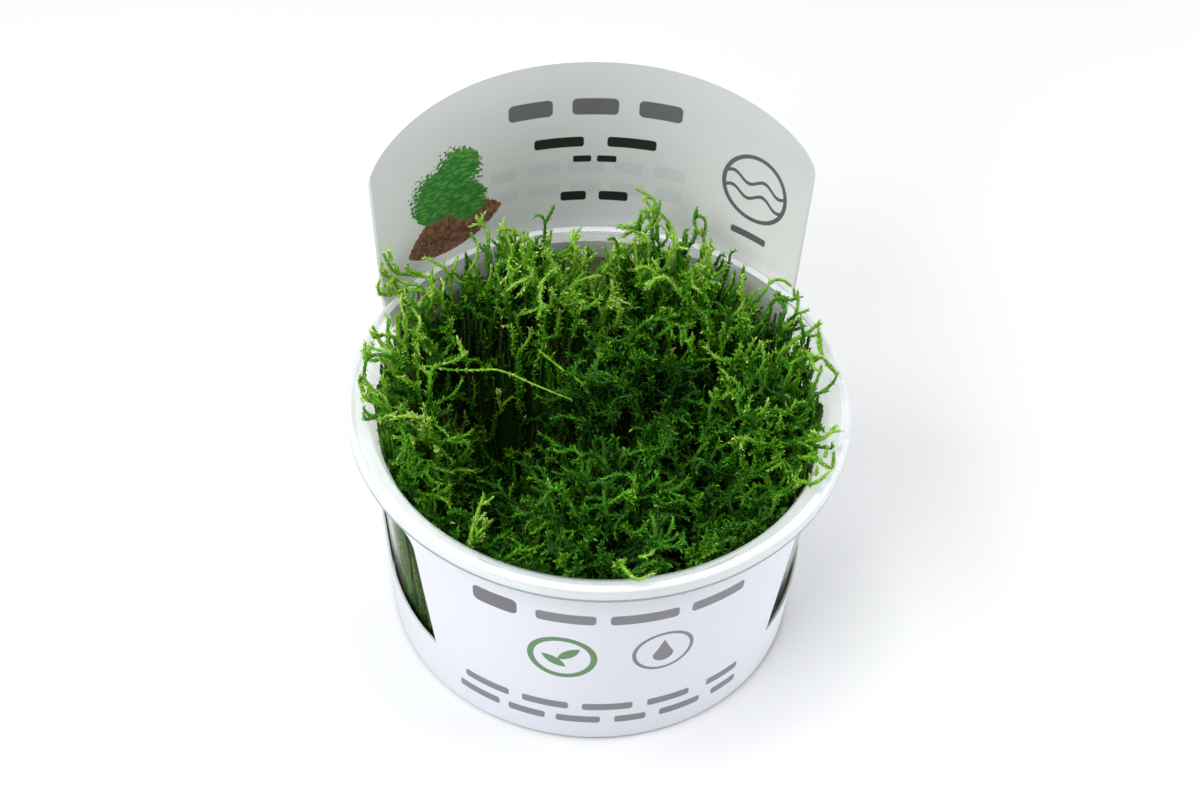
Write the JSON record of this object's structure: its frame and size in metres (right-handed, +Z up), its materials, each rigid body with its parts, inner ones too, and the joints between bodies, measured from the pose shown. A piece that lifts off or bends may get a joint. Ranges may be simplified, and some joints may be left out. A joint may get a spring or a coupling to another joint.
{
  "type": "potted aquarium moss",
  "caption": "Tissue cultured spiky aquarium moss growing in an open clear plastic cup, held in a plain printed card sleeve with a tall arched header.",
  "frame": {"origin": "middle of the cup's flat base, on the surface it stands on", "axes": "+Z up; the sleeve's front panel faces -Y and its tall header stands at +Y; +X to the right seen from the front"},
  "size_m": [0.1, 0.1048, 0.0977],
  "materials": {
    "clear_plastic": "clear, faintly milky moulded plastic, glossy",
    "white_card": "white coated card with a low sheen and plain grey and green print",
    "nutrient_gel": "cloudy pale jelly",
    "moss_green": "wet bright green moss with pointed leaves",
    "moss_deep_green": "shaded dark green moss"
  },
  "bodies": {
    "root": {"cup": "clear_plastic", "card_sleeve": "white_card", "nutrient_gel": "nutrient_gel", "moss_back_left": "moss_green", "moss_back_middle": "moss_green", "moss_back_right": "moss_green", "moss_right_back": "moss_green", "moss_right": "moss_green", "moss_front_right": "moss_green", "moss_front_middle": "moss_green", "moss_front_left": "moss_green", "moss_left": "moss_green", "moss_middle": "moss_green", "moss_low": "moss_deep_green"}
  },
  "joints": []
}
